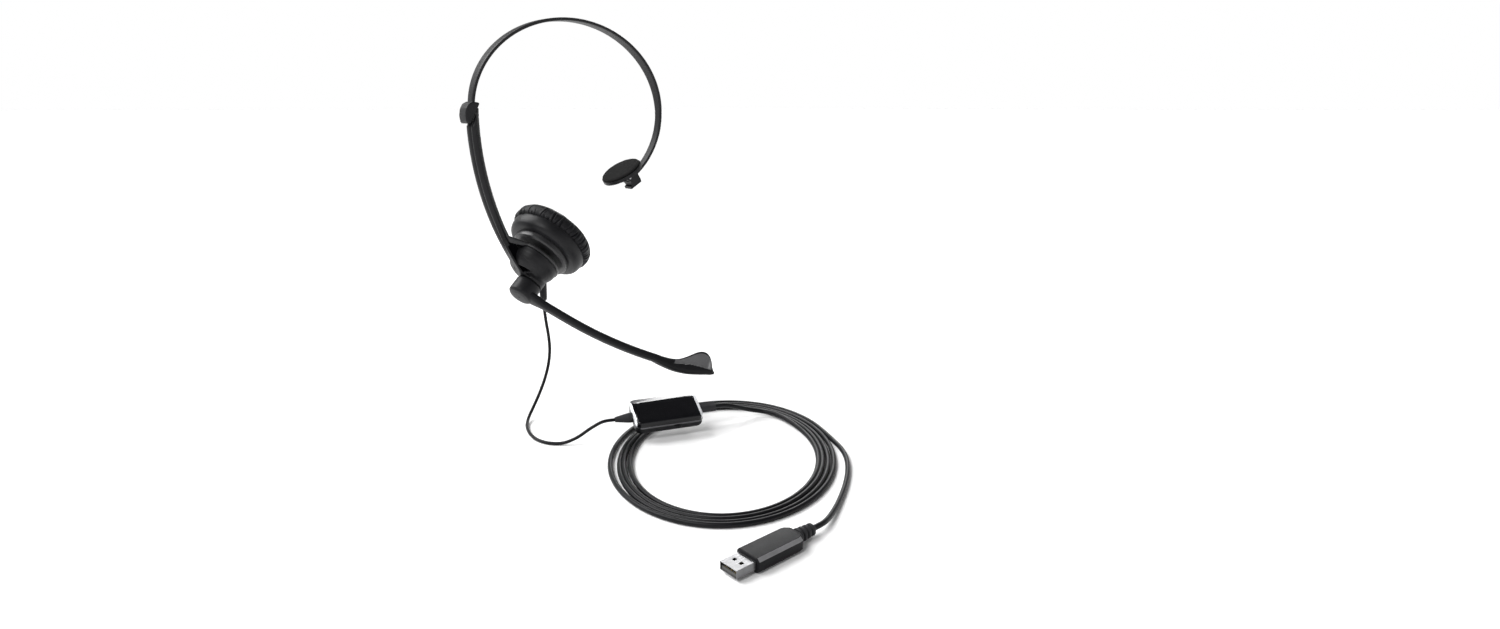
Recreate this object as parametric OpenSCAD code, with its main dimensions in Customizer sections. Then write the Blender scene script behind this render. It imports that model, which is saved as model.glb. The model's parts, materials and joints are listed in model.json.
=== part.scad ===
// Call headset for one ear: sprung headband, sliding arm, tilting ear cup, boom microphone,
// corded volume and mute box, coiled lead and USB plug.
// Origin at the centre of the headband's arc, +Z up, +X from the ear cup to the temple pad,
// -Y the way the wearer faces.

/* [Headband] */
// Half width of the band's arc
band_half_w = 72; // [70:0.5:74]
// Height of the crown above the arc's centre
band_rise = 60; // [57:0.5:63]
// Thickness of the band
band_t = 2.2; // [1.8:0.1:2.6]
// Width of the band at the crown
band_w = 10.5; // [9:0.5:14]
// Width of the band at its ends
band_end_w = 6.6; // [5:0.2:7]

/* [Arm] */
// Radius of the arm's long curve, at the joint between its two covers
arm_r = 190; // [188:0.5:192]
// Width of the arm, front to back
arm_w = 12; // [11:0.5:13]
// Thickness of the outer cover
outer_t = 3.1; // [2.8:0.1:3.4]
// Thickness of the inner cover
inner_t = 2.5; // [2.2:0.1:2.8]

/* [Ear cup] */
// Radius of the seat for the cushion plate in the cup shell
cup_r = 27.6; // [26.5:0.1:28.5]
// Radius of the ear cushion
cushion_r = 29; // [28.5:0.1:30]
// Radius of the hole in the cushion
cushion_hole_r = 11; // [9:0.5:13]
// Depth of the cushion, front to back
cushion_d = 12; // [10:0.5:13]

/* [Boom] */
// Radius of the boom's pivot ring
ring_r = 9; // [8.5:0.1:9.4]
// Length of the straight stretch of the boom
boom_straight = 35; // [25:1:40]
// Radius of the boom's curve
boom_r = 266; // [240:2:300]
// Direction of the boom in its own plane, degrees
boom_angle = -50; // [-60:1:-45]

/* [Control box] */
// Length of the box
box_l = 46; // [44:0.5:50]
// Width of the box
box_w = 25; // [24:0.5:27]
// Thickness of the box
box_t = 11.5; // [11:0.5:13]

/* [Cords] */
// Diameter of the cord from the headset to the box
thin_cord_d = 2.2; // [1.8:0.1:2.6]
// Diameter of the lead from the box to the plug
lead_d = 3.1; // [2.8:0.1:3.8]

/* [Hidden] */

floor_z = -210;              // the surface that the cords and the box lie on
arm_cx = 118.5;              // centre of the arm's long curve
arm_cz = -8;
arm_in = arm_r - inner_t;
arm_out = arm_r + outer_t;
channel_w = 7.2;             // the channel that the tongue slides in
tongue_w = 6.8;
tongue_in = arm_r - 0.8;
tongue_out = arm_r + 0.8;
cut_at = [-71.5, 0, -1.5];   // a point on the slanted joint between grip and arm
cut_slant = 26.57;

hub_at = [-33, 2, -98];      // centre of the hub's face
hub_azimuth = 15;
hub_rise = 38;
boom_drop = 8;               // the boom's pivot sits this far below the hub's axis
ball_s = 3;                  // the ball's centre, measured along the hub's axis
ball_r = 5;
seat_gap = 0.06;             // running clearance round the ball
stub_r = 6;
boom_s = -25.3;              // the boom's centre line, along the hub's axis
mic_turn = 14;               // how far round the boom's curve the microphone starts
boom_turn = 16;

pad_at = [38, 0, -43];       // centre of the temple pad
pad_slant = -30;
pad_pin = [1, 0, -4.9];       // the pad's pin, in the pad's own frame
pad_r = 15.5;

box_at = [6, -91, floor_z + 4.3 + box_w / 2 * sin(22) + box_t / 2 * cos(22)];
box_yaw = -21;
box_tilt = 22;

coil_at = [11, -147];
coil_a = 84;                 // half axes of the coil's middle line
coil_b = 63.5;
coil_yaw = 48;
coil_half_w = 7.2;
coil_h = 4.1;

plug_at = [-75, -250.3, floor_z + 4];

// The headset cord's route: out of its strain relief, down to the surface and up to the box.
cord_route = [
    [-29.7, 2.7, -129], [-29.7, 2.7, -136], [-28.8, 2.9, -146], [-27.5, 3.3, -156],
    [-27.4, 3.2, -166], [-29.5, 2.4, -176], [-34, 0.8, -186], [-40, -1.4, -195],
    [-46.5, -4.6, -202], [-53, -9.6, -206.6], [-58.5, -17, -208.7], [-62.5, -26, -208.9],
    [-65.2, -36, -208.9], [-65.8, -46, -208.9], [-63, -55.5, -208.9], [-56.5, -62.5, -208.6],
    [-48.8, -67.3, -205.6], [-40.5, -71.8, -199.8], [-33.7, -75.7, -196],
    [-26.2, -78.6, -195.7]
];
// The lead from the box to where it joins the coil.
start_route = [
    [38.2, -103.4, -195.7], [44.7, -105.9, -195.9], [52, -107.6, -198.2],
    [60, -108.4, -201.5], [67.6, -110, -204.3], [74, -113.8, -205.9], [79, -120, -206.2]
];
// The lead from the coil to the plug.
tail_route = [
    [79, -169, -208.2], [75.6, -181.5, -208.2], [69, -194, -208.2], [60.5, -204.8, -208.2],
    [49.5, -215, -208.2], [37, -224.5, -208.2], [23.5, -233.2, -208.2], [10, -241, -207.8],
    [-1.5, -246.8, -207], [-9.5, -249.8, -206.2], [-17, -250.3, -206]
];

// ---- Shared shapes ----

// A bar that follows the arm's long curve, between two radii and two angles.
module arc_bar(r0, r1, w, a0, a1) {
    translate([arm_cx, 0, arm_cz]) rotate([90, 0, 0]) rotate([0, 0, a0])
        rotate_extrude(angle = a1 - a0, $fn = 240)
            translate([r0, -w / 2]) square([r1 - r0, w]);
}

// The arm's side of the slanted joint, or the grip's side of it.
module past_cut(gap, side) {
    translate(cut_at) rotate([0, cut_slant, 0])
        translate([side < 0 ? -60 - gap : -gap, -20, -40]) cube([60, 40, 80]);
}

// The hub's own frame: +Z along its axis, towards the wearer's head.
module on_hub(x = 0, s = 0) {
    translate(hub_at) rotate([0, 90 - hub_rise, hub_azimuth]) translate([x, 0, s])
        children();
}

// The boom's own frame: +X along the boom, +Z along the hub's axis.
module on_boom() {
    on_hub(boom_drop, 0) rotate([0, 0, boom_angle]) children();
}

module on_box() {
    translate(box_at) rotate([0, 0, box_yaw]) rotate([box_tilt, 0, 0]) children();
}

module ring(r0, r1, h, z = 0) {
    translate([0, 0, z]) difference() {
        cylinder(r = r1, h = h, $fn = 96);
        translate([0, 0, -1]) cylinder(r = r0, h = h + 2, $fn = 64);
    }
}

// Points of an arc, for a lathe outline.
function arc_pts(c, r, a0, a1, n) =
    [for (i = [0:n]) let (a = a0 + (a1 - a0) * i / n) c + r * [cos(a), sin(a)]];

// A rectangle with its corners cut off.
module cut_rect(l, w, c) {
    polygon([[-l / 2 + c, -w / 2], [l / 2 - c, -w / 2], [l / 2, -w / 2 + c], [l / 2, w / 2 - c],
             [l / 2 - c, w / 2], [-l / 2 + c, w / 2], [-l / 2, w / 2 - c], [-l / 2, -w / 2 + c]]);
}

// ---- Swept solids ----

function unit(v) = v / norm(v);
function tangent(p, i) = unit(p[min(i + 1, len(p) - 1)] - p[max(i - 1, 0)]);
// A smooth curve through the route's points, with n steps to each stretch.
function spline_at(p, i, t) =
    let (a = i > 0 ? p[i - 1] : 2 * p[0] - p[1], b = p[i], c = p[i + 1],
         d = i + 2 < len(p) ? p[i + 2] : 2 * p[i + 1] - p[i])
    0.5 * (2 * b + (c - a) * t + (2 * a - 5 * b + 4 * c - d) * t * t
           + (3 * b - a - 3 * c + d) * t * t * t);
function smooth_route(p, n) =
    [for (i = [0:len(p) - 2]) for (k = [0:n - 1]) spline_at(p, i, k / n), p[len(p) - 1]];
// Each ring's first direction is carried along from the ring before it.
function carried(p, i, u) =
    let (t = tangent(p, i), v = unit(u - (u * t) * t))
    i == len(p) - 1 ? [v] : concat([v], carried(p, i + 1, v));
function ring_faces(n, m) = [
    [for (k = [0:m - 1]) k],
    for (i = [0:n - 2]) for (k = [0:m - 1])
        let (a = i * m + k, b = i * m + (k + 1) % m) each [[a, a + m, b + m], [a, b + m, b]],
    [for (k = [0:m - 1]) n * m - 1 - k]
];
module cord(route, d, steps, sides) {
    p = smooth_route(route, steps);
    u = carried(p, 0, abs(tangent(p, 0)[2]) > 0.9 ? [1, 0, 0] : [0, 0, 1]);
    points = [
        for (i = [0:len(p) - 1]) let (t = tangent(p, i), v = cross(t, u[i]))
            for (k = [0:sides - 1]) let (a = 360 * k / sides)
                p[i] + d / 2 * (cos(a) * u[i] + sin(a) * v)
    ];
    polyhedron(points, ring_faces(len(p), sides), convexity = 6);
}

// ---- Headband ----

function band_half(a) = (band_end_w + (band_w - band_end_w) * pow(max(sin(a), 0), 0.7)) / 2;
function band_mid(a) = [band_half_w * cos(a), 0, band_rise * sin(a)];
function band_out(a) = unit([band_rise * cos(a), 0, band_half_w * sin(a)]);
function band_ring(a) =
    let (m = band_mid(a), o = band_out(a), h = band_half(a), t = band_t / 2, y = [0, 1, 0])
    [m + t * o - (h - 0.7) * y, m + t * o + (h - 0.7) * y, m + 0.4 * o + h * y,
     m - 0.4 * o + h * y, m - t * o + (h - 0.7) * y, m - t * o - (h - 0.7) * y,
     m - 0.4 * o - h * y, m + 0.4 * o - h * y];

module headband() {
    stops = [for (i = [0:50]) -50 + i * (175 + 50) / 50];
    color([0.06, 0.06, 0.07])
        polyhedron([for (a = stops) each band_ring(a)], ring_faces(len(stops), 8), convexity = 6);
}

module band_grip() {
    outline = [[-77.4, -7.4], [-73.4, -7.4], [-67.2, 0.4], [-67.2, 5.2], [-68.8, 7],
               [-72.8, 7.6], [-75.6, 6], [-77.4, 2.8], [-78.2, -1.6], [-78, -5]];
    color([0.05, 0.05, 0.06]) intersection() {
        rotate([90, 0, 0]) translate([0, 0, -6.2]) linear_extrude(height = 12.4)
            polygon(outline);
        past_cut(0.45, -1);
    }
}

module adjuster_tongue() {
    color([0.09, 0.09, 0.1]) difference() {
        arc_bar(tongue_in, tongue_out, tongue_w, 178, 195);
        for (i = [0:6])
            translate([arm_cx, 0, arm_cz]) rotate([0, -(192.4 - 1.3 * i), 0])
                translate([tongue_out + 0.3, 0, 0]) rotate([90, 0, 0])
                    cylinder(r = 0.5, h = 20, center = true, $fn = 24);
    }
}

module detent_spring() {
    color([0.7, 0.7, 0.72]) union() {
        arc_bar(arm_r + 1.2, arm_r + 1.5, 4.4, 188.4, 195.6);
        translate([arm_cx, 0, arm_cz]) rotate([0, -192.4, 0])
            translate([arm_r + 1.25, 0, 0]) rotate([90, 0, 0])
                cylinder(r = 0.4, h = 4, center = true, $fn = 24);
    }
}

// ---- Temple pad ----

module on_pad() {
    translate(pad_at) rotate([0, pad_slant, 0]) children();
}

module temple_yoke() {
    color([0.05, 0.05, 0.06]) on_pad() difference() {
        union() {
            rotate([90, 0, 0]) translate([0, 0, -4.2]) linear_extrude(height = 8.4)
                polygon([[-1.6, -13.2], [8.4, -13.2], [9, -11.2], [9, -4.8], [4.3, -4.8],
                         [4.3, -8], [0, -8], [0, -11.2], [-1.6, -11.2]]);
            for (y = [-5.5, 3.2]) translate([0, y, 0]) {
                translate(pad_pin) rotate([-90, 0, 0]) cylinder(r = 2.4, h = 2.3, $fn = 48);
                translate([pad_pin[0] - 1, 0, -9.2]) cube([5.4, 2.3, 4.3]);
            }
        }
        translate(pad_pin) rotate([90, 0, 0]) cylinder(r = 1.03, h = 20, center = true, $fn = 48);
    }
}

module temple_pin() {
    color([0.75, 0.75, 0.78]) on_pad() translate(pad_pin) rotate([90, 0, 0])
        cylinder(r = 1, h = 10.8, center = true, $fn = 48);
}

module temple_pad_plate() {
    color([0.07, 0.07, 0.08]) on_pad() difference() {
        union() {
            translate([0, 0, -1.2]) cylinder(r = pad_r, h = 2.4, $fn = 96);
            translate([pad_pin[0], -2.9, pad_pin[2]]) rotate([-90, 0, 0])
                cylinder(r = 2.3, h = 5.8, $fn = 48);
            translate([pad_pin[0] - 2.3, -2.9, pad_pin[2]]) cube([4.6, 5.8, 4.2]);
        }
        translate(pad_pin) rotate([90, 0, 0]) cylinder(r = 1.06, h = 20, center = true, $fn = 48);
    }
}

module temple_pad_foam() {
    color([0.1, 0.1, 0.1]) on_pad() translate([0, 0, 1.2])
        cylinder(r = pad_r - 0.6, h = 1.8, $fn = 96);
}

// ---- Arm and hub ----

bell = [[0, -13], [0, -15.4], [9.4, -15.4], [13, -13.2], [15.4, -10.5], [17, -7], [17.6, -3.25],
        [16, -3.25], [15.3, -7], [13.8, -9.4], [11.8, -11.2], [8.6, -13]];
screw_y = [-11, 11];

module arm_outer_shell() {
    color([0.06, 0.06, 0.07]) difference() {
        union() {
            difference() {
                union() {
                    arc_bar(arm_r, arm_out, arm_w, 176, 212.3);
                    on_hub() rotate_extrude($fn = 96) polygon(bell);
                    on_hub(boom_drop, -17) cylinder(r = ring_r, h = 5.6, $fn = 72);
                    on_hub(0, -12.2) for (y = screw_y) translate([0, y, 0])
                        cylinder(r = 2.4, h = 7, $fn = 48);
                }
                arc_bar(arm_r - 2, arm_r + 1.05, channel_w, 170, 200);
                arc_bar(arm_r + 1, arm_r + 1.9, 5, 188, 196);
                arc_bar(arm_r - 2.8, arm_r + 1.5, 60, 204.2, 210.6);
                past_cut(-0.35, -1);
                on_hub(0, -57) cylinder(r = 60, h = 40, $fn = 96);
            }
            on_hub(boom_drop, -24.5) cylinder(r = stub_r, h = 8, $fn = 72);
        }
        on_hub(boom_drop, -25) cylinder(r = 1.52, h = 20, $fn = 48);
        on_hub(0, -10.5) for (y = screw_y) translate([0, y, 0])
            cylinder(r = 0.95, h = 10, $fn = 32);
    }
}

module arm_inner_cover() {
    color([0.1, 0.1, 0.11]) difference() {
        union() {
            arc_bar(arm_in, arm_r - 0.04, arm_w - 1.2, 174, 203.4);
            difference() {
                hull() {
                    arc_bar(arm_in, arm_r - 0.04, arm_w - 1.2, 202.4, 203.4);
                    on_hub(-17.4, -3.1) translate([0, -5.4, 0]) cube([2.5, 10.8, 2]);
                }
                on_hub(0, -20) cylinder(r = 17.75, h = 16.8, $fn = 96);
            }
            on_hub(0, -3.15) cylinder(r = 18, h = 2.15, $fn = 96);
            on_hub(0, -3.15) cylinder(r = 7.5, h = 4.75, $fn = 72);
            on_hub(0, -5) ring(14, 15.2, 2, 0);
        }
        arc_bar(arm_r - 1.05, arm_r + 2, channel_w, 170, 200);
        past_cut(-0.35, -1);
        on_hub(0, ball_s) sphere(r = ball_r + seat_gap, $fn = 96);
        on_hub(0, -6) cylinder(r = 1.6, h = 8, $fn = 48);
        on_hub(0, -6) for (y = screw_y) translate([0, y, 0]) cylinder(r = 0.95, h = 8, $fn = 32);
        translate([cord_route[0][0], cord_route[0][1], -130]) cylinder(r = 2.5, h = 18.8, $fn = 48);
    }
}

module hub_screws() {
    color([0.7, 0.7, 0.72]) on_hub() for (y = screw_y) translate([0, y, 0]) {
        translate([0, 0, -9]) cylinder(r = 0.9, h = 8.5, $fn = 32);
        translate([0, 0, -0.98]) cylinder(r = 1.8, h = 0.5, $fn = 32);
    }
}

module swivel_ball() {
    color([0.75, 0.75, 0.78]) on_hub(0, ball_s) difference() {
        sphere(r = ball_r, $fn = 96);
        cylinder(r = 1.4, h = 20, center = true, $fn = 48);
    }
}

// ---- Ear cup ----

rear_ring_outline = [[1.6, 4.5], [9.6, 4.5], [9.6, 2.4], [19.4, 2.4], [20.6, 3.2], [20.8, 6.35],
                     [8, 6.35], [8, 9.5], [1.6, 9.5]];
shell_outline = [[8.1, 6.4], [20.9, 6.4], [24.6, 7.2], [27, 9], [28.3, 11.6], [28.8, 14.6],
                 [28.6, 15.7], [27.3, 15.7], [27.2, 14.2], [cup_r - 1.6, 14.2],
                 [cup_r - 1.6, 12.1], [25, 10.2], [23.6, 8.9], [20.7, 8.3], [8.1, 8.3]];
cup_screw_r = 14;

module cup_screw_places() {
    for (a = [90, 210, 330]) rotate([0, 0, a]) translate([cup_screw_r, 0, 0]) children();
}

module cup_rear_ring() {
    color([0.08, 0.08, 0.09]) on_hub() difference() {
        rotate_extrude($fn = 96) polygon(rear_ring_outline);
        translate([0, 0, ball_s]) sphere(r = ball_r + seat_gap, $fn = 96);
        cup_screw_places() translate([0, 0, 3.3]) cylinder(r = 0.95, h = 6, $fn = 32);
    }
}

module cup_shell() {
    color([0.07, 0.07, 0.08]) on_hub() difference() {
        rotate_extrude($fn = 120) polygon(shell_outline);
        cup_screw_places() translate([0, 0, 5]) cylinder(r = 0.95, h = 6, $fn = 32);
    }
}

module cup_screws() {
    color([0.7, 0.7, 0.72]) on_hub() cup_screw_places() {
        translate([0, 0, 3.6]) cylinder(r = 0.9, h = 4.8, $fn = 32);
        translate([0, 0, 8.32]) cylinder(r = 1.8, h = 0.9, $fn = 32);
    }
}

module speaker_driver() {
    color([0.35, 0.35, 0.36]) on_hub() union() {
        translate([0, 0, 9.6]) cylinder(r = 8.4, h = 2.2, $fn = 72);
        rotate_extrude($fn = 96)
            polygon([[0, 11.7], [10, 11.7], [17.5, 12.4], [17.5, 14.1], [16.2, 14.1],
                     [16.2, 13], [9.6, 12.5], [0, 12.5]]);
    }
}

module speaker_diaphragm() {
    color([0.5, 0.48, 0.42]) on_hub() rotate_extrude($fn = 96)
        polygon([[0, 13.6], [6, 13.4], [16.1, 13.05], [16.1, 13.25], [6, 13.65], [0, 13.9]]);
}

module cup_baffle() {
    color([0.05, 0.05, 0.05]) on_hub(0, 14.25) difference() {
        cylinder(r = cup_r - 0.8, h = 1.2, $fn = 96);
        for (n = [0:2], k = [0:max(1, 6 * n) - 1])
            rotate([0, 0, 60 * k / max(1, n)]) translate([3.4 * n, 0, -1])
                cylinder(r = 0.8, h = 4, $fn = 24);
    }
}

module ear_cushion() {
    z0 = 15.5;
    z1 = 14.2 + cushion_d;
    round_r = 4.6;
    lip = 2.4;
    outline = concat(
        [[cushion_hole_r, z0], [cushion_r - lip, z0], [cushion_r - lip, z0 + 0.5]],
        arc_pts([cushion_r - 1.2, z0 + 1.7], 1.2, -90, 0, 4),
        arc_pts([cushion_r - round_r, z1 - round_r], round_r, 0, 90, 8),
        arc_pts([cushion_hole_r + 3, z1 - 3], 3, 90, 180, 6));
    color([0.08, 0.08, 0.08]) on_hub() rotate_extrude($fn = 96) polygon(outline);
}

// ---- Boom microphone ----

boom_outline = [[-3.2, -1.5], [-2, -2.6], [2, -2.6], [3.2, -1.5], [3.2, 1.5], [2, 2.6],
                [-2, 2.6], [-3.2, 1.5]];

// Places things on the boom's curve: angle t round it, with +X along it.
module on_boom_curve(t) {
    on_boom() translate([boom_straight, 0, boom_s + boom_r]) rotate([0, -t, 0])
        translate([0, 0, -boom_r]) children();
}

module boom_ring() {
    color([0.07, 0.07, 0.08]) on_boom() difference() {
        translate([0, 0, -28.4]) cylinder(r = ring_r, h = 11.2, $fn = 96);
        translate([0, 0, -24.7]) cylinder(r = stub_r + 0.05, h = 10, $fn = 72);
        translate([0, 0, -30]) cylinder(r = 1.56, h = 10, $fn = 48);
        translate([0, 0, -30]) cylinder(r = 6, h = 4.1, $fn = 64);
    }
}

module boom_screw() {
    color([0.7, 0.7, 0.72]) on_boom() union() {
        translate([0, 0, -26]) cylinder(r = 1.5, h = 8, $fn = 48);
        translate([0, 0, -27.6]) cylinder(r = 2.8, h = 1.65, $fn = 48);
    }
}

module boom_cap() {
    color([0.05, 0.05, 0.06]) on_boom() rotate_extrude($fn = 96)
        polygon([[0, -29.6], [5, -29.4], [7.6, -28.9], [8.2, -28.42], [5.94, -28.42],
                 [5.94, -27.2], [4.2, -27.2], [4.2, -28.4], [0, -28.4]]);
}

// A stretch of the boom's curve with the given section.
module boom_bend(a0, a1) {
    translate([boom_straight, 0, boom_s + boom_r]) rotate([90, 0, 0]) rotate([0, 0, a0 - 90])
        rotate_extrude(angle = a1 - a0, $fn = 360)
            translate([boom_r, 0]) rotate([0, 0, 90]) children();
}

module boom_arm() {
    color([0.07, 0.07, 0.08]) on_boom() difference() {
        union() {
            translate([0, 0, boom_s]) rotate([90, 0, 90]) linear_extrude(height = boom_straight)
                polygon(boom_outline);
            boom_bend(0, mic_turn) polygon(boom_outline);
            boom_bend(mic_turn - 0.5, boom_turn) square([3.6, 3], center = true);
        }
        translate([0, 0, -40]) cylinder(r = ring_r + 0.02, h = 40, $fn = 96);
    }
}

mic_outline = concat(
    [[0, -2.7], [8, -3.6], [18, -4.2], [28, -4], [36, -2.6], [39.6, -0.6], [40.6, 1.6]],
    arc_pts([33, 7.6], 6.6, 12, 104, 8),
    [[25.5, 11.6], [19, 8], [12.5, 5], [6.5, 3.2], [0, 2.7]]);

module mic_half(y0, y1) {
    rotate([90, 0, 0]) translate([0, 0, y0]) linear_extrude(height = y1 - y0)
        polygon(mic_outline);
}

module mic_lower_shell() {
    color([0.06, 0.06, 0.07]) on_boom_curve(mic_turn) difference() {
        mic_half(-3.4, -0.02);
        translate([-1, -1.85, -1.55]) cube([11, 3.7, 3.1]);
        translate([32, 2, 6.4]) rotate([90, 0, 0]) cylinder(r = 4.2, h = 4.5, $fn = 64);
    }
}

module mic_upper_shell() {
    color([0.09, 0.09, 0.1]) on_boom_curve(mic_turn) difference() {
        mic_half(0.02, 3.4);
        translate([-1, -1.85, -1.55]) cube([11, 3.7, 3.1]);
        translate([32, 2, 6.4]) rotate([90, 0, 0]) cylinder(r = 4.2, h = 4.2, $fn = 64);
        translate([32, -2, 6.4]) for (a = [0:60:300]) rotate([0, a, 0]) translate([1.8, 0, 0])
            rotate([90, 0, 0]) cylinder(r = 0.45, h = 4, $fn = 24);
    }
}

module mic_capsule() {
    color([0.7, 0.7, 0.7]) on_boom_curve(mic_turn) translate([32, 1.9, 6.4])
        rotate([90, 0, 0]) cylinder(r = 3, h = 3, $fn = 64);
}

module mic_screen() {
    color([0.15, 0.15, 0.15]) on_boom_curve(mic_turn) translate([32, -1.15, 6.4])
        rotate([90, 0, 0]) cylinder(r = 4.1, h = 0.8, $fn = 64);
}

// ---- Headset cord ----

module headset_strain_relief() {
    color([0.05, 0.05, 0.05]) translate([cord_route[0][0], cord_route[0][1], -129])
        rotate_extrude($fn = 48)
            polygon([[0, 0], [1.7, 0], [2.3, 1], [2.5, 4], [2.8, 12.4], [2.2, 12.4], [2.2, 17.5],
                     [0, 17.5]]);
}

module headset_cord() {
    color([0.06, 0.06, 0.06]) cord(cord_route, thin_cord_d, 2, 8);
}

// ---- Control box ----

wall = 1.4;
split_z = 0.6;
wheel_at = [5, -box_w / 2 + 4.9, -1.6];
mute_at = [-14.5, box_w / 2 - 1, -1.6];

// The box's whole outside, between two heights, with its long edges bevelled.
module box_slab(z0, z1, shrink) {
    w = box_w - 2 * shrink;
    h = box_t - 2 * shrink;
    c = 3.4 - shrink;
    translate([0, 0, 0]) intersection() {
        rotate([90, 0, 90]) translate([0, 0, -box_l / 2 + shrink])
            linear_extrude(height = box_l - 2 * shrink)
                polygon([[-w / 2, -h / 2 + c * 0.6], [-w / 2 + c * 0.6, -h / 2],
                         [w / 2 - c * 0.6, -h / 2], [w / 2, -h / 2 + c * 0.6], [w / 2, h / 2 - c],
                         [w / 2 - c, h / 2], [-w / 2 + c, h / 2], [-w / 2, h / 2 - c]]);
        translate([0, 0, z0]) linear_extrude(height = z1 - z0)
            cut_rect(box_l - 2 * shrink, w, 3.4);
    }
}

module box_openings() {
    translate(wheel_at) cylinder(r = 6.3, h = 3, center = true, $fn = 72);
    translate([mute_at[0], mute_at[1], mute_at[2]]) cube([9.4, 5, 2.6], center = true);
    for (s = [-1, 1]) translate([s * (box_l / 2 - 3), 0, 0]) rotate([0, s * 90, 0])
        cylinder(r = 2.52, h = 6, $fn = 48);
}

module box_posts(r) {
    for (x = [-17, 17]) translate([x, 0, 0]) children();
}

module box_top_cover() {
    color([0.02, 0.02, 0.025]) on_box() difference() {
        union() {
            difference() {
                box_slab(split_z + 0.75, box_t / 2, 0);
                box_slab(-box_t / 2, box_t / 2, wall);
            }
            box_posts() translate([0, 0, 1.5]) ring(0.95, 2.2, 2.9);
        }
        box_openings();
    }
}

module box_bottom_cover() {
    color([0.05, 0.05, 0.055]) on_box() difference() {
        union() {
            difference() {
                box_slab(-box_t / 2, split_z - 0.75, 0);
                box_slab(-box_t / 2, box_t / 2, wall);
            }
            box_posts() translate([0, 0, -box_t / 2 + 0.2]) cylinder(r = 2.4, h = 4.5, $fn = 48);
        }
        box_openings();
        box_posts() translate([0, 0, -10]) cylinder(r = 0.95, h = 20, $fn = 32);
        box_posts() translate([0, 0, -10 - box_t / 2 + 0.8]) cylinder(r = 1.85, h = 10, $fn = 32);
    }
}

module box_trim() {
    color([0.75, 0.76, 0.78]) on_box() difference() {
        box_slab(split_z - 0.73, split_z + 0.73, -0.25);
        box_slab(-box_t / 2, box_t / 2, wall);
        box_openings();
    }
}

module box_circuit_board() {
    color([0.05, 0.3, 0.12]) on_box() translate([0, 0, 0.1]) difference() {
        translate([-20, -9.6, 0]) cube([40, 18.6, 1]);
        box_posts() translate([0, 0, -1]) cylinder(r = 1.1, h = 4, $fn = 32);
    }
}

module box_screws() {
    color([0.6, 0.6, 0.62]) on_box() box_posts() {
        translate([0, 0, -box_t / 2 + 0.6]) cylinder(r = 0.9, h = 8.4, $fn = 32);
        translate([0, 0, -box_t / 2 + 0.1]) cylinder(r = 1.75, h = 0.6, $fn = 32);
    }
}

module volume_wheel() {
    color([0.12, 0.12, 0.13]) on_box() translate(wheel_at) difference() {
        cylinder(r = 6, h = 2.2, center = true, $fn = 72);
        cylinder(r = 1.25, h = 4, center = true, $fn = 48);
        for (a = [0:15:345]) rotate([0, 0, a]) translate([6.25, 0, 0])
            cylinder(r = 0.5, h = 4, center = true, $fn = 16);
    }
}

module volume_control() {
    color([0.3, 0.3, 0.3]) on_box() translate([wheel_at[0], wheel_at[1], -box_t / 2 + wall]) union() {
        cylinder(r = 2.2, h = 1.4, $fn = 64);
        cylinder(r = 1.2, h = 4.2, $fn = 48);
    }
}

module mute_switch() {
    color([0.3, 0.3, 0.3]) on_box() translate([mute_at[0] - 4.2, 5.4, mute_at[2] - 1.2])
        cube([8.4, 3.6, 2.8]);
}

module mute_slider() {
    color([0.12, 0.12, 0.13]) on_box() translate([mute_at[0] - 1.5, mute_at[1], mute_at[2]]) union() {
        translate([-2.4, -2.2, -1]) cube([4.8, 4.6, 2]);
        for (x = [-1.5, 0, 1.5]) translate([x - 0.25, 2.3, -1]) cube([0.5, 0.4, 2]);
    }
}

module cord_bushing() {
    color([0.1, 0.1, 0.1]) on_box() translate([-box_l / 2 + 2, 0, 0]) rotate([0, -90, 0])
        rotate_extrude($fn = 48)
            polygon([[0, 0], [2.5, 0], [2.5, 2.3], [3.4, 2.3], [3.2, 5], [1.7, 13.5], [0, 13.5]]);
}

module lead_bushing() {
    color([0.1, 0.1, 0.1]) on_box() translate([box_l / 2 - 2, 0, 0]) rotate([0, 90, 0]) union() {
        cylinder(r = 2.5, h = 3, $fn = 48);
        translate([0, 0, 2.3]) rotate([0, 0, 90]) linear_extrude(height = 11.2)
            cut_rect(6.4, 5.4, 1.2);
    }
}

// ---- Lead and coil ----

function coil_point(a, off) =
    let (x = (coil_a + off) * cos(a), y = (coil_b + off) * sin(a))
    [coil_at[0] + x * cos(coil_yaw) - y * sin(coil_yaw),
     coil_at[1] + x * sin(coil_yaw) + y * cos(coil_yaw)];

module usb_lead_start() {
    color([0.04, 0.04, 0.04]) cord(start_route, lead_d, 1, 8);
}

module usb_lead_coil() {
    color([0.04, 0.04, 0.04]) translate([0, 0, floor_z + 0.1]) linear_extrude(height = coil_h)
        difference() {
            polygon([for (a = [0:6:354]) coil_point(a, coil_half_w)]);
            polygon([for (a = [0:6:354]) coil_point(a, -coil_half_w)]);
        }
}

module usb_lead_tail() {
    color([0.04, 0.04, 0.04]) cord(tail_route, lead_d, 1, 8);
}

// ---- USB plug ----

plug_l = 12;
body_l = 33;
body_w = 16;
body_h = 8;

module plug_shell() {
    color([0.8, 0.8, 0.82]) translate(plug_at) difference() {
        translate([0, -6, -2.25]) cube([plug_l + 3, 12, 4.5]);
        translate([-1, -5.7, -1.95]) cube([plug_l + 2, 11.4, 3.9]);
        for (y = [-3.4, 1.4]) translate([5, y, -5]) cube([2.2, 2, 10]);
    }
}

module plug_tongue() {
    color([0.9, 0.9, 0.9]) translate(plug_at) union() {
        translate([0.6, -5.6, -1.9]) cube([plug_l - 0.6, 11.2, 1.8]);
        translate([plug_l - 2, -5.6, -1.9]) cube([2, 11.2, 3.8]);
    }
}

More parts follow.
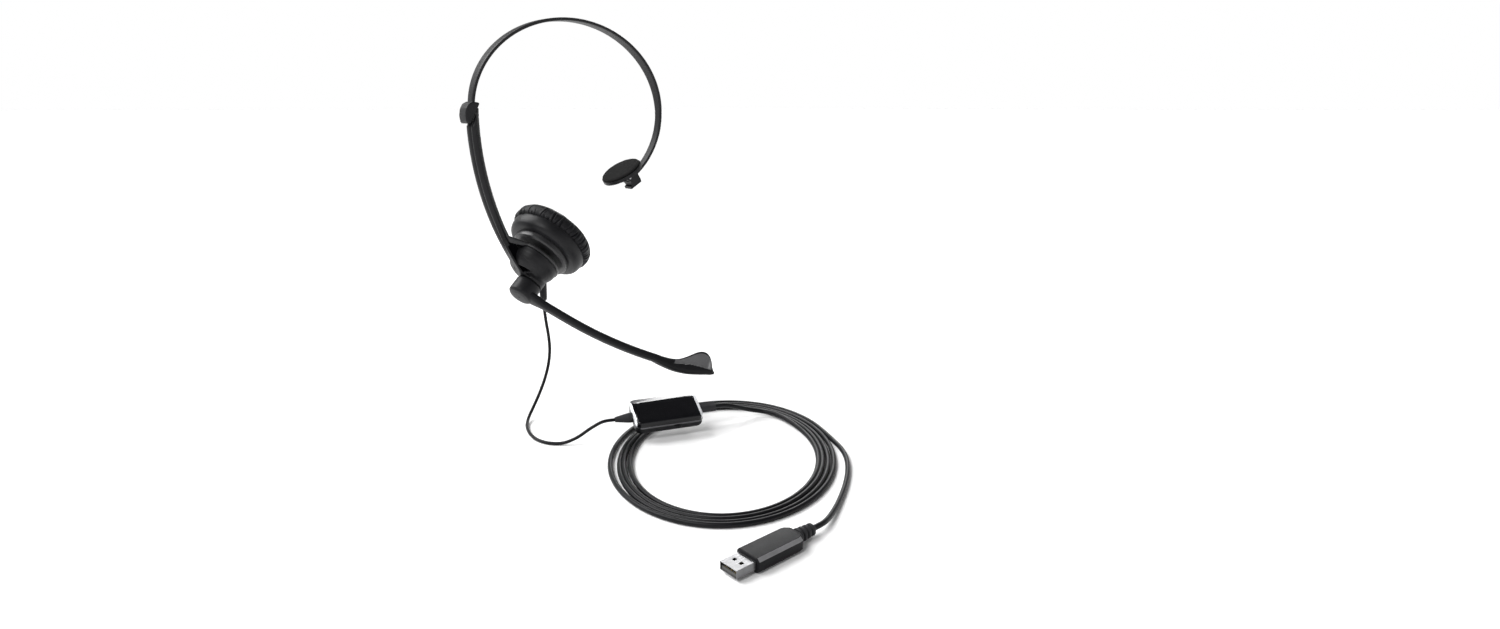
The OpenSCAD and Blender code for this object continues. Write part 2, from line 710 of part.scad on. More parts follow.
module plug_contacts() {
    color([0.85, 0.7, 0.3]) translate(plug_at)
        for (y = [-3.5, -1, 1, 3.5]) translate([1.2, y - 0.5, -0.08]) cube([8.4, 1, 0.25]);
}

module plug_overmould() {
    color([0.05, 0.05, 0.05]) translate(plug_at) difference() {
        translate([plug_l, 0, 0]) rotate([90, 0, 90]) linear_extrude(height = body_l)
            cut_rect(body_w, body_h - 0.1, 1.4);
        translate([plug_l - 1, -6, -2.25]) cube([4, 12, 4.5]);
        for (s = [-1, 1]) translate([plug_l + body_l, s * body_w / 2, 0]) rotate([0, 0, 45])
            cube([3.4, 3.4, 20], center = true);
    }
}

module plug_strain_relief() {
    color([0.05, 0.05, 0.05]) translate(plug_at + [plug_l + body_l, 0, 0]) rotate([0, 90, 0])
        union() {
            translate([0, 0, -1]) cylinder(r = 2.3, h = 14, $fn = 48);
            for (i = [0:3]) translate([0, 0, 1.4 + 3.1 * i])
                cylinder(r = 3.8 - 0.35 * i, h = 1.7, $fn = 48);
        }
}

headband();
band_grip();
adjuster_tongue();
detent_spring();
temple_yoke();
temple_pin();
temple_pad_plate();
temple_pad_foam();
arm_outer_shell();
arm_inner_cover();
hub_screws();
swivel_ball();
cup_rear_ring();
cup_shell();
cup_screws();
speaker_driver();
speaker_diaphragm();
cup_baffle();
ear_cushion();
boom_ring();
boom_screw();
boom_cap();
boom_arm();
mic_lower_shell();
mic_upper_shell();
mic_capsule();
mic_screen();
headset_strain_relief();
headset_cord();
box_top_cover();
box_bottom_cover();
box_trim();
box_circuit_board();
box_screws();
volume_wheel();
volume_control();
mute_slider();
mute_switch();
cord_bushing();
lead_bushing();
usb_lead_start();
usb_lead_coil();
usb_lead_tail();
plug_strain_relief();
plug_overmould();
plug_shell();
plug_tongue();
plug_contacts();
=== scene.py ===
"""Corded one-ear call headset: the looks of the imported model. Local shapes are in millimetres."""

import json
import math
import random

import bmesh
import bpy
from mathutils import Matrix, Vector, noise


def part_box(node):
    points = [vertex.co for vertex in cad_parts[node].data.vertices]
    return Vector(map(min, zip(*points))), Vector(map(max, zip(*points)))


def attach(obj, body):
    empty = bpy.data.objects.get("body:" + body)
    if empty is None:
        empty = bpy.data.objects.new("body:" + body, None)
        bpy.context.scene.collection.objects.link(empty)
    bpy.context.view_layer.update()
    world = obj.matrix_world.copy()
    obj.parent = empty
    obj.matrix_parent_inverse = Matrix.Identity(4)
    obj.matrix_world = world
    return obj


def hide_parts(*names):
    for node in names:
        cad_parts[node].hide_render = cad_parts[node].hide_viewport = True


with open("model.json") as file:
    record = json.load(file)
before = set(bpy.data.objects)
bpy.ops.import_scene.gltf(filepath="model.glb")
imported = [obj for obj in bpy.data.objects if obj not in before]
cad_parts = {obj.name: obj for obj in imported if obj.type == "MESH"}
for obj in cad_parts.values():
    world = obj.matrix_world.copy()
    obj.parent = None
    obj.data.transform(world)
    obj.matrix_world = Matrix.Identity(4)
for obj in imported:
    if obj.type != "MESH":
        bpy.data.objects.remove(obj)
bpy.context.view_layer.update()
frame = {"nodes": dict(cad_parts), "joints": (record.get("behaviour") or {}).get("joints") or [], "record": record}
scene = bpy.context.scene
nodes = frame["nodes"]
joints = {j["name"]: j for j in frame["joints"]}

MM = 0.001
FLOOR_Z = -0.210


# ---- Places, from the record's joints ----

def placed(origin, x, y, z):
    m = Matrix((x, y, z)).transposed().to_4x4()
    m.translation = origin
    return m


def joint_axis(name):
    return Vector(joints[name]["axis"]).normalized()


def joint_pos(name):
    return Vector(joints[name]["pos_m"])


def shift(x, y, z):
    return Matrix.Translation(Vector((x, y, z)) * MM)


def turn(degrees, axis):
    return Matrix.Rotation(math.radians(degrees), 4, axis)


BALL_S = 3.0                 # the ball's centre along the hub's axis
BOOM_DROP = 8.0              # the boom's pivot, below the hub's axis
BOOM_ANGLE = -50.0           # the boom's turn about its pivot at rest
BOOM_S = -25.3               # the boom's middle along the hub's axis
BOOM_STRAIGHT = 35.0         # its straight stretch, before it bends in
BOOM_R = 266.0
MIC_TURN = 14.0              # how far it has bent at the microphone
WHEEL_AT = (5.0, -7.6, -1.6)     # in the control box's frame
PAD_PIN = (1.0, 0.0, -4.9)       # in the temple pad's frame
PAD_SLANT = -30.0
ARM_R = 190.0                # the arm's radius, about the band's sliding axis

hub_axes = (joint_axis("cup_swivel"), joint_axis("cup_tilt"), joint_axis("boom_rotate"))
HUB = placed(joint_pos("cup_tilt"), *hub_axes) @ shift(0, 0, -BALL_S)
BOOM = HUB @ shift(BOOM_DROP, 0, 0) @ turn(BOOM_ANGLE, "Z")
box_x, box_z = joint_axis("mute_slide"), joint_axis("volume_turn")
BOX = placed(joint_pos("volume_turn"), box_x, box_z.cross(box_x), box_z) @ shift(*[-v for v in WHEEL_AT])
PAD = Matrix.Translation(joint_pos("temple_tilt")) @ turn(PAD_SLANT, "Y") @ shift(*[-v for v in PAD_PIN])
ARM = Matrix.Translation(joint_pos("band_adjust"))
plug_low, plug_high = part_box("plug_shell")
PLUG = Matrix.Translation((plug_low.x, (plug_low.y + plug_high.y) / 2, (plug_low.z + plug_high.z) / 2))


# ---- Camera and cords ----

CAMERA_AT = (-0.2894, -0.5037, 0.004)
CAMERA_TILT, CAMERA_YAW = 75.4, -42.0
camera_data = bpy.data.cameras.new("camera")
camera_data.lens = 19.2
camera_data.sensor_width = 36
camera = bpy.data.objects.new("camera", camera_data)
camera.location = CAMERA_AT
camera.rotation_euler = (math.radians(CAMERA_TILT), 0, math.radians(CAMERA_YAW))
scene.collection.objects.link(camera)
scene.camera = camera


def catmull(points, steps):
    """A smooth curve through the points, with some steps to each stretch."""
    p = [Vector(q) for q in points]
    p = [2 * p[0] - p[1], *p, 2 * p[-1] - p[-2]]
    out = []
    for a, b, c, d in zip(p, p[1:], p[2:], p[3:]):
        for k in range(steps):
            t = k / steps
            out.append(0.5 * (2 * b + (c - a) * t + (2 * a - 5 * b + 4 * c - d) * t * t
                              + (3 * b - a - 3 * c + d) * t ** 3))
    out.append(p[-2])
    return out


def cord_curve(name, points, diameter):
    """A tube of one open spline along points in millimetres."""
    data = bpy.data.curves.new(name, "CURVE")
    data.dimensions = "3D"
    data.bevel_depth = diameter / 2
    data.bevel_resolution = 5
    data.use_fill_caps = True
    spline = data.splines.new("POLY")
    spline.points.add(len(points) - 1)
    for point, at in zip(spline.points, points):
        point.co = (*(Vector(at) * MM), 1)
    obj = bpy.data.objects.new(name, data)
    scene.collection.objects.link(obj)
    return obj


# The headset cord's route, in millimetres: out of its strain relief, down and up to the box.
cord_route = [
    (-29.7, 2.7, -129), (-29.7, 2.7, -136), (-28.8, 2.9, -146), (-27.5, 3.3, -156),
    (-27.4, 3.2, -166), (-29.5, 2.4, -176), (-34, 0.8, -186), (-40, -1.4, -195),
    (-46.5, -4.6, -202), (-53, -9.6, -206.6), (-58.5, -17, -208.7), (-62.5, -26, -208.9),
    (-65.2, -36, -208.9), (-65.8, -46, -208.9), (-63, -55.5, -208.9), (-56.5, -62.5, -208.6),
    (-48.8, -67.3, -205.6), (-40.5, -71.8, -199.8), (-33.7, -75.7, -196),
    (-26.2, -78.6, -195.7),
]
start_route = [
    (38.2, -103.4, -195.7), (44.7, -105.9, -195.9), (52, -107.6, -198.2),
    (60, -108.4, -201.5), (67.6, -110, -204.3), (74, -113.8, -205.9),
]
tail_route = [
    (75.6, -181.5, -208.2), (69, -194, -208.2), (60.5, -204.8, -208.2),
    (49.5, -215, -208.2), (37, -224.5, -208.2), (23.5, -233.2, -208.2), (10, -241, -207.8),
    (-1.5, -246.8, -207), (-9.5, -249.8, -206.2), (-17, -250.3, -206),
]
THIN_D = 0.0022
LEAD_D = 0.0031
COIL_AT = (11.0, -147.0)
COIL_A, COIL_B, COIL_YAW = 84.0, 63.5, math.radians(48)


def coil_point(angle, off, z):
    x = (COIL_A + off) * math.cos(angle)
    y = (COIL_B + off) * math.sin(angle)
    return Vector((COIL_AT[0] + x * math.cos(COIL_YAW) - y * math.sin(COIL_YAW),
                   COIL_AT[1] + x * math.sin(COIL_YAW) + y * math.cos(COIL_YAW), z))


def bump_at(value, centre, width):
    return math.exp(-((value - centre) / width) ** 2)


def coil_turns():
    """The lead's turns, clockwise from above and from the inside out, side by side on the floor."""
    lie = FLOOR_Z / MM + LEAD_D / MM / 2 + 0.1
    first, travel, pitch, step, innermost = -36.0, 1475.0, 3.25, 12.0, -6.3
    points = []
    for i in range(int(travel / step) + 1):
        a = i * step
        off = innermost + pitch * a / 360
        off += 0.35 * math.sin(math.radians(a * 1.37))                   # the turns wander a little
        off += 2.6 * bump_at(a, 1322, 52) + 0.6 * bump_at(a, 1450, 40)   # the last one stands off
        z = lie + 2.1 * bump_at(a, 0, 14)                                # the first comes down on it
        points.append(coil_point(math.radians(first - a), off, z))
    return points


headset_cord = cord_curve("headset_cord_tube", catmull(cord_route, 6), THIN_D)
lead = cord_curve("usb_lead_tube", catmull(start_route + coil_turns() + tail_route, 5), LEAD_D)


# ---- Meshes ----

def finished(obj, material, body, replaces=(), angle=35):
    """Shading, material and the body it moves with for one piece; edges over the angle stay sharp."""
    if obj.type == "MESH":
        obj.data.shade_smooth()
        obj.data.set_sharp_from_angle(angle=math.radians(angle))
    obj.data.materials.clear()
    obj.data.materials.append(material)
    if replaces:
        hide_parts(*replaces)
    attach(obj, body)
    return obj


def mesh_object(name, verts, faces, place=Matrix.Identity(4)):
    mesh = bpy.data.meshes.new(name)
    mesh.from_pydata([tuple(v) for v in verts], [], faces)
    mesh.transform(place @ Matrix.Scale(MM, 4))
    bm = bmesh.new()
    bm.from_mesh(mesh)
    bmesh.ops.recalc_face_normals(bm, faces=bm.faces)
    bm.to_mesh(mesh)
    bm.free()
    obj = bpy.data.objects.new(name, mesh)
    scene.collection.objects.link(obj)
    return obj


def loft(name, rings, place=Matrix.Identity(4), closed=False):
    """A skin over rings that have the same number of points."""
    count, size = len(rings), len(rings[0])
    faces = []
    for i in range(count if closed else count - 1):
        a, b = i * size, (i + 1) % count * size
        for k in range(size):
            following = (k + 1) % size
            faces.append((a + k, a + following, b + following, b + k))
    if not closed:
        faces.append(tuple(range(size)))
        faces.append(tuple(range((count - 1) * size, count * size)))
    return mesh_object(name, [p for ring in rings for p in ring], faces, place)


def lathe(name, profile, place, segments=128):
    """A solid of revolution from a closed outline of (radius, height) points."""
    rings = []
    for i in range(segments):
        a = 2 * math.pi * i / segments
        c, s = math.cos(a), math.sin(a)
        rings.append([(max(r, 0.01) * c, max(r, 0.01) * s, z) for r, z in profile])
    return loft(name, rings, place, closed=True)


def rounded(outline, radius, steps=5):
    """A closed 2-D outline with its corners rounded."""
    points = [Vector(p) for p in outline]
    out = []
    for before, at, after in zip(points[-1:] + points, points, points[1:] + points[:1]):
        u, v = (before - at), (after - at)
        cut = min(radius, 0.48 * u.length, 0.48 * v.length)
        a, b = at + u.normalized() * cut, at + v.normalized() * cut
        for k in range(steps + 1):
            t = k / steps
            out.append(a * (1 - t) ** 2 + at * 2 * t * (1 - t) + b * t * t)
    return out


def superellipse(half_w, half_h, power, count):
    out = []
    for k in range(count):
        a = 2 * math.pi * k / count
        c, s = math.cos(a), math.sin(a)
        out.append((math.copysign(abs(c) ** (2 / power), c) * half_w,
                    math.copysign(abs(s) ** (2 / power), s) * half_h))
    return out


def lerp(a, b, t):
    return a + (b - a) * t


def smoothstep(a, b, x):
    t = min(max((x - a) / (b - a), 0), 1)
    return t * t * (3 - 2 * t)


def soft_copy(node, name, voxel, passes, reshape=None):
    """A CAD node's mesh with its edges melted: remeshed, reshaped point by point, then relaxed."""
    obj = bpy.data.objects.new(name, nodes[node].data.copy())
    scene.collection.objects.link(obj)
    remesh = obj.modifiers.new("remesh", "REMESH")
    remesh.mode, remesh.voxel_size = "VOXEL", voxel * MM
    bake(obj)
    if reshape:
        for v in obj.data.vertices:
            v.co = reshape(v.co.copy())
    smooth = obj.modifiers.new("smooth", "SMOOTH")
    smooth.factor, smooth.iterations = 0.5, passes
    bake(obj)
    return obj


def bake(obj):
    """Applies the object's modifiers to its mesh."""
    bpy.context.view_layer.update()
    mesh = bpy.data.meshes.new_from_object(obj.evaluated_get(bpy.context.evaluated_depsgraph_get()))
    obj.modifiers.clear()
    obj.data = mesh


# ---- Materials ----

def new_material(name, colour, roughness, metallic=0.0, specular=0.5):
    mat = bpy.data.materials.new(name)
    mat.use_nodes = True
    tree = mat.node_tree
    shader = tree.nodes["Principled BSDF"]
    shader.inputs["Base Color"].default_value = (*colour, 1)
    shader.inputs["Roughness"].default_value = roughness
    shader.inputs["Metallic"].default_value = metallic
    shader.inputs["Specular IOR Level"].default_value = specular
    return mat, tree, shader


def texture(tree, kind, scale, **settings):
    node = tree.nodes.new(kind)
    coords = tree.nodes.get("coords") or tree.nodes.new("ShaderNodeTexCoord")
    coords.name = "coords"
    tree.links.new(coords.outputs["Object"], node.inputs["Vector"])
    node.inputs["Scale"].default_value = scale
    for key, value in settings.items():
        node.inputs[key].default_value = value
    return node


def ramp(tree, source, low, high, out_low, out_high):
    node = tree.nodes.new("ShaderNodeMapRange")
    tree.links.new(source, node.inputs["Value"])
    for key, value in zip(("From Min", "From Max", "To Min", "To Max"), (low, high, out_low, out_high)):
        node.inputs[key].default_value = value
    return node.outputs["Result"]


def mixed(tree, factor, a, b):
    node = tree.nodes.new("ShaderNodeMix")
    node.data_type = "RGBA"
    tree.links.new(factor, node.inputs["Factor"])
    for socket, value in ((node.inputs["A"], a), (node.inputs["B"], b)):
        if isinstance(value, tuple):
            socket.default_value = (*value, 1)
        else:
            tree.links.new(value, socket)
    return node.outputs["Result"]


def bumped(tree, height, strength, distance, normal=None):
    node = tree.nodes.new("ShaderNodeBump")
    node.inputs["Strength"].default_value = strength
    node.inputs["Distance"].default_value = distance
    tree.links.new(height, node.inputs["Height"])
    if normal:
        tree.links.new(normal, node.inputs["Normal"])
    return node.outputs["Normal"]


def plastic(name, colour, roughness, grain=4200, depth=0.00003, spread=0.07, wear=0.0, **more):
    """Moulded plastic or rubber: a fine spark grain, cloudy roughness, faint rubs and paler edges."""
    mat, tree, shader = new_material(name, colour, roughness, **more)
    fine = texture(tree, "ShaderNodeTexNoise", grain, Detail=3.0, Roughness=0.6)
    cloud = texture(tree, "ShaderNodeTexNoise", 130, Detail=5.0, Roughness=0.65)
    rub = texture(tree, "ShaderNodeTexNoise", 700, Detail=6.0, Roughness=0.75, Distortion=1.4)
    factor = ramp(tree, cloud.outputs["Fac"], 0.35, 0.7, 0, 1)
    base = mixed(tree, factor, colour, tuple(c * 1.28 + 0.001 for c in colour))
    if wear:
        geometry = tree.nodes.new("ShaderNodeNewGeometry")
        edge = ramp(tree, geometry.outputs["Pointiness"], 0.53, 0.62, 0, wear)
        base = mixed(tree, edge, base, tuple(c * 2.2 + 0.02 for c in colour))
    tree.links.new(base, shader.inputs["Base Color"])
    rough = ramp(tree, rub.outputs["Fac"], 0.3, 0.75, roughness - spread, roughness + spread)
    tree.links.new(rough, shader.inputs["Roughness"])
    tree.links.new(bumped(tree, fine.outputs["Fac"], 0.6, depth), shader.inputs["Normal"])
    return mat


def metal(name, colour, roughness, stretch=(1, 1, 1), grain=900):
    """Drawn or stamped metal: fine lines one way, small dull patches."""
    mat, tree, shader = new_material(name, colour, roughness, metallic=1.0)
    mapping = tree.nodes.new("ShaderNodeMapping")
    mapping.inputs["Scale"].default_value = stretch
    lines = texture(tree, "ShaderNodeTexNoise", grain, Detail=4.0, Roughness=0.7)
    tree.links.new(tree.nodes["coords"].outputs["Object"], mapping.inputs["Vector"])
    tree.links.new(mapping.outputs["Vector"], lines.inputs["Vector"])
    patch = texture(tree, "ShaderNodeTexNoise", 160, Detail=5.0, Roughness=0.7)
    factor = ramp(tree, patch.outputs["Fac"], 0.35, 0.7, 0, 1)
    darker = tuple(c * 0.84 for c in colour)
    tree.links.new(mixed(tree, factor, colour, darker), shader.inputs["Base Color"])
    tree.links.new(ramp(tree, lines.outputs["Fac"], 0.3, 0.7, roughness * 0.75, roughness * 1.35),
                   shader.inputs["Roughness"])
    tree.links.new(bumped(tree, lines.outputs["Fac"], 0.35, 0.00002), shader.inputs["Normal"])
    return mat


def leatherette(name, colour):
    """Soft coated cloth: pebbled grain, pores, fine creases and a dull sheen."""
    mat, tree, shader = new_material(name, colour, 0.5, specular=0.16)
    pebbles = texture(tree, "ShaderNodeTexVoronoi", 1500, Randomness=0.95)
    pebbles.feature = "SMOOTH_F1"
    creases = texture(tree, "ShaderNodeTexNoise", 520, Detail=7.0, Roughness=0.72, Distortion=2.2)
    cloud = texture(tree, "ShaderNodeTexNoise", 110, Detail=4.0, Roughness=0.6)
    factor = ramp(tree, creases.outputs["Fac"], 0.35, 0.68, 0, 1)
    paler = tuple(c * 1.6 + 0.002 for c in colour)
    tree.links.new(mixed(tree, factor, colour, paler), shader.inputs["Base Color"])
    tree.links.new(ramp(tree, cloud.outputs["Fac"], 0.3, 0.7, 0.4, 0.58), shader.inputs["Roughness"])
    grain = bumped(tree, pebbles.outputs["Distance"], 0.35, 0.00012)
    tree.links.new(bumped(tree, creases.outputs["Fac"], 0.5, 0.00035, grain), shader.inputs["Normal"])
    return mat


def foam(name, colour):
    """Open foam under thin cloth: deep pores painted darker as shade, paler ridges between them, and a matt,
    slightly fuzzy face.
    """
    mat, tree, shader = new_material(name, colour, 0.93, specular=0.1)
    cells = texture(tree, "ShaderNodeTexVoronoi", 2600, Randomness=1.0)
    fuzz = texture(tree, "ShaderNodeTexNoise", 1700, Detail=6.0, Roughness=0.8)
    # Darkest where the pores' bump is deepest: painted shade in the pores, paler ridges between.
    factor = ramp(tree, cells.outputs["Distance"], 0.1, 0.6, 0, 1)
    darker, paler = (tuple(c * share for c in colour) for share in (0.6, 1.5))
    tree.links.new(mixed(tree, factor, darker, paler), shader.inputs["Base Color"])
    tree.links.new(ramp(tree, fuzz.outputs["Fac"], 0.3, 0.7, 0.86, 1.0), shader.inputs["Roughness"])
    pores = bumped(tree, cells.outputs["Distance"], 0.8, 0.00025)
    tree.links.new(bumped(tree, fuzz.outputs["Fac"], 0.4, 0.0001, pores), shader.inputs["Normal"])
    return mat


band_mat = plastic("band plastic", (0.008, 0.008, 0.009), 0.45, grain=5200, depth=0.00002, wear=0.1,
                   specular=0.18)
shell_mat = plastic("shell plastic", (0.006, 0.006, 0.007), 0.42, wear=0.1, specular=0.2)
inner_mat = plastic("inner plastic", (0.012, 0.012, 0.013), 0.34, wear=0.15, specular=0.4)
# Near-black with no gloss: painted shade for the arm's groove and slot.
gap_painted_shade_mat = plastic("gap painted shade", (0.0015, 0.0015, 0.002), 0.7, specular=0.0)
boom_mat = plastic("boom plastic", (0.007, 0.007, 0.008), 0.42, wear=0.1, specular=0.16)
# Grey for the microphone's dished face: a painted reflection of light from above on black plastic.
mic_face_painted_reflection_mat = plastic("mic face painted reflection", (0.1, 0.1, 0.103), 0.32, depth=0.00001, spread=0.05)
gloss_mat = plastic("box gloss", (0.002, 0.002, 0.003), 0.07, grain=300, depth=0.000004, spread=0.03,
                    specular=0.3)
# A greyer copy of the box's black gloss for its far slope: painted reflection.
slope_painted_reflection_mat = plastic("box slope painted reflection", (0.05, 0.05, 0.054), 0.14, grain=300, depth=0.000004, spread=0.03)
matte_mat = plastic("box plastic", (0.006, 0.006, 0.007), 0.4, wear=0.2, specular=0.14)
# Two copies of the silver trim: the side one painted dark as shade, the end one painted pale as a highlight.
trim_side_painted_shade_mat = plastic("trim side painted shade", (0.1, 0.1, 0.105), 0.26, depth=0.00001, spread=0.06,
                        metallic=0.9)
trim_end_painted_highlight_mat = plastic("trim end painted highlight", (0.74, 0.75, 0.77), 0.28, depth=0.00001, spread=0.06,
                       metallic=0.25)
cord_mat = plastic("cord sheath", (0.004, 0.004, 0.005), 0.4, grain=1500, depth=0.00004, spread=0.09,
                   specular=0.15)
relief_mat = plastic("relief rubber", (0.022, 0.022, 0.024), 0.6, grain=3200, depth=0.00005, wear=0.1,
                     specular=0.18)
plug_mat = plastic("plug plastic", (0.007, 0.007, 0.008), 0.44, grain=3600, depth=0.00004, wear=0.2,
                   specular=0.08)
# A grey copy of the plug's black for its upper chamfers: painted highlight.
plug_chamfer_highlight_mat = plastic("plug chamfer painted highlight", (0.15, 0.15, 0.155), 0.36, grain=3600, depth=0.00003)
# The white tongue is painted dark grey: painted shade inside the plug's opening.
tongue_painted_shade_mat = plastic("plug tongue painted shade", (0.06, 0.06, 0.058), 0.5, specular=0.2)
steel_mat = metal("steel", (0.5, 0.5, 0.52), 0.3, (1, 1, 14))
plug_steel_mat = metal("plug shell steel", (0.2, 0.2, 0.205), 0.34, (0.08, 1, 1), 2400)
gold_mat = metal("contact gold", (0.85, 0.63, 0.24), 0.24)
board_mat = plastic("solder mask", (0.02, 0.12, 0.05), 0.35)
driver_mat = plastic("driver lacquer", (0.12, 0.12, 0.125), 0.5, metallic=0.3)
paper_mat = foam("pressed paper", (0.25, 0.23, 0.19))
leather_mat = leatherette("ear leatherette", (0.005, 0.005, 0.006))
foam_mat = foam("pad foam", (0.008, 0.008, 0.008))

SLOT_MATERIALS = {
    "band_black": band_mat, "shell_black": shell_mat, "inner_black": inner_mat, "boom_black": boom_mat,
    "mic_black": mic_face_painted_reflection_mat, "box_black": gloss_mat, "box_matte": matte_mat, "trim_silver": trim_side_painted_shade_mat,
    "cushion_leather": leather_mat, "foam_black": foam_mat, "cord_black": cord_mat,
    "relief_rubber": relief_mat, "plug_black": plug_mat, "plug_white": tongue_painted_shade_mat, "steel": steel_mat,
    "plug_steel": plug_steel_mat, "contact_gold": gold_mat, "board_green": board_mat,
    "driver_grey": driver_mat, "paper": paper_mat,
}
# The radius that each carried-over node's edges are rounded to.
ROUNDED_NODES = {
    "temple_yoke": 0.5, "temple_pad_plate": 0.35, "cup_rear_ring": 0.35, "cup_baffle": 0.2,
    "boom_cap": 0.3, "volume_wheel": 0.15, "mute_slider": 0.2, "headset_strain_relief": 0.2,
    "cord_bushing": 0.2, "lead_bushing": 0.5, "plug_shell": 0.12, "plug_tongue": 0.1,
}
for part in frame["record"]["subparts"]:
    node = nodes[part["node"]]
    node.data.materials.clear()
    node.data.materials.append(SLOT_MATERIALS[part["material_slot"]])
    if part["node"] in ROUNDED_NODES:
        weld = node.modifiers.new("weld", "WELD")
        weld.merge_threshold = 0.00001
        edge = node.modifiers.new("bevel", "BEVEL")
        edge.width, edge.segments = ROUNDED_NODES[part["node"]] * MM, 3
        edge.limit_method, edge.angle_limit = "ANGLE", math.radians(30)


# ---- Headband, arm and temple pad ----

BAND_W, BAND_RISE, BAND_T = 72.0, 60.0, 2.2
BAND_FROM, BAND_TO = -50.0, 175.0


def band_half(a):
    return (6.6 + 3.9 * max(math.sin(a), 0) ** 0.7) / 2


def band_ring(degrees):
    """The band's cross-section at an angle round its arc."""
    a = math.radians(degrees)
    mid = Vector((BAND_W * math.cos(a), 0, BAND_RISE * math.sin(a)))
    out = Vector((BAND_RISE * math.cos(a), 0, BAND_W * math.sin(a))).normalized()
    return [mid + out * (BAND_T / 2 * v) + Vector((0, w, 0))
            for w, v in superellipse(band_half(a), 1.0, 5.0, 28)]


stations = [lerp(BAND_FROM, BAND_TO, i / 150) for i in range(151)]
finished(loft("headband_strip", [band_ring(a) for a in stations]), band_mat, "band",
         ["headband"])


GROOVE_Y = -1.4              # the groove down the arm's outer face; its dark line is painted shade
GROOVE_HALF = 0.75
BRIDGE_FROM, HUB_FROM = 201.0, 207.0   # where the arm meets its bridge and its hub, in degrees


def arm_polar(co):
    """A point's place in the arm's own frame, its distance from the arm's centre and its angle."""
    p = (ARM.inverted() @ co) / MM
    return p, math.hypot(p.x, p.z), math.degrees(math.atan2(p.z, p.x)) % 360


def arm_crown(co):
    """Rounds the arm's faces clear of the hub: two ridges outside, one crown inside."""
    p, r, phi = arm_polar(co)
    near = 1 - smoothstep(BRIDGE_FROM, HUB_FROM, phi)
    if r > ARM_R - 0.4 and abs(p.y) < 6.3 and 190 < phi < 213:
        p.y *= lerp(1, 0.58, smoothstep(195, 205, phi))
    if r > ARM_R + 0.3:
        ridge, half = (2.3, 3.7) if p.y > GROOVE_Y else (-3.7, 2.3)
        away = min(abs(p.y - ridge) / half, 1.2) ** 2.6
        r -= 1.9 * near * away * smoothstep(0.3, 2.8, r - ARM_R)
    elif r < ARM_R - 0.3:
        away = min(abs(p.y) / 6, 1.2) ** 2.4
        r += 0.8 * near * away * smoothstep(0.3, 2.2, ARM_R - r)
    scale = r / max(math.hypot(p.x, p.z), 1e-6)
    return ARM @ (Vector((p.x * scale, p.y, p.z * scale)) * MM)


def grip_shape(co):
    """Draws the grip in at its sides and ends."""
    return Vector((co.x, co.y * 0.84, co.z * 0.9))


arm_cover = finished(soft_copy("arm_outer_shell", "arm_outer_cover", 0.42, 7, arm_crown), shell_mat,
                     "arm", ["arm_outer_shell"], angle=80)
arm_cover.data.materials.append(gap_painted_shade_mat)
# The faces along the groove are painted near-black and dull: painted shade in the groove.
for face in arm_cover.data.polygons:
    p, r, phi = arm_polar(face.center)
    if abs(p.y - GROOVE_Y) < GROOVE_HALF and r > ARM_R + 0.3 and phi < 204:
        face.material_index = 1
finished(soft_copy("arm_inner_cover", "arm_inner_strip", 0.42, 8, arm_crown), inner_mat,
         "arm", ["arm_inner_cover"], angle=80)
finished(soft_copy("band_grip", "band_grip_block", 0.4, 22, grip_shape), band_mat,
         "band", ["band_grip"], angle=80)


def arm_point(r, degrees, y):
    a = math.radians(degrees)
    return (r * math.cos(a), y, r * math.sin(a))


# The bell's outline behind the slot, and a dark sheet of painted shade that fills the slot's recess.
BELL = [(9.3, -15.25), (12.9, -13.05), (15.2, -10.4), (16.8, -7), (17.4, -3.4), (16.1, -3.4),
        (15.4, -7), (13.9, -9.4), (11.8, -11.2), (8.8, -13)]
SHADE_SHEET_LOW, SHADE_SHEET_HIGH, SHADE_SHEET_Y = 185.6, 191.9, 2.2
SHADE_SHEET_SECTION = [(SHADE_SHEET_LOW, -SHADE_SHEET_Y), (SHADE_SHEET_HIGH, -SHADE_SHEET_Y), (SHADE_SHEET_HIGH, SHADE_SHEET_Y), (SHADE_SHEET_LOW, SHADE_SHEET_Y)]
finished(lathe("hub_bell_core", rounded(BELL, 0.8, 4), HUB), shell_mat, "arm", angle=60)
# Painted shade: a near-black sheet across the slot, where the hollow behind it lies in shade.
slot_shade_sheet = [[arm_point(r, phi, y) for r, y in SHADE_SHEET_SECTION] for phi in range(203, 214)]
finished(loft("arm_slot_painted_shade", slot_shade_sheet, ARM), gap_painted_shade_mat, "arm", angle=40)


def pad_face(name, radius, low, high, crown):
    """A foam disc with a rounded edge, a little fuller in the middle."""
    rings = []
    profile = [(0.0, low), (radius - 0.5, low), (radius, low + 0.5)]
    profile += [(radius, high - 1.0), (radius - 0.25, high - 0.4), (radius - 0.9, high)]
    for k in range(2, 15):
        share = 1 - k / 14
        profile.append((radius * share, high + crown * (1 - share ** 2)))
    for i in range(120):
        a = 2 * math.pi * i / 120
        c, s = math.cos(a), math.sin(a)
        ring = []
        for r, z in profile:
            dent = 0.10 * noise.noise(Vector((3 * c * r / radius, 3 * s * r / radius, z)))
            ring.append((max(r, 0.02) * c, max(r, 0.02) * s, z + (dent if z > low + 0.6 else 0)))
        rings.append(ring)
    return loft(name, rings, PAD, closed=True)


temple_foam = finished(pad_face("temple_pad_cushion", 14.9, 1.2, 2.85, 0.25), foam_mat,
                       "temple_pad", ["temple_pad_foam"], angle=60)


# ---- Ear cup ----

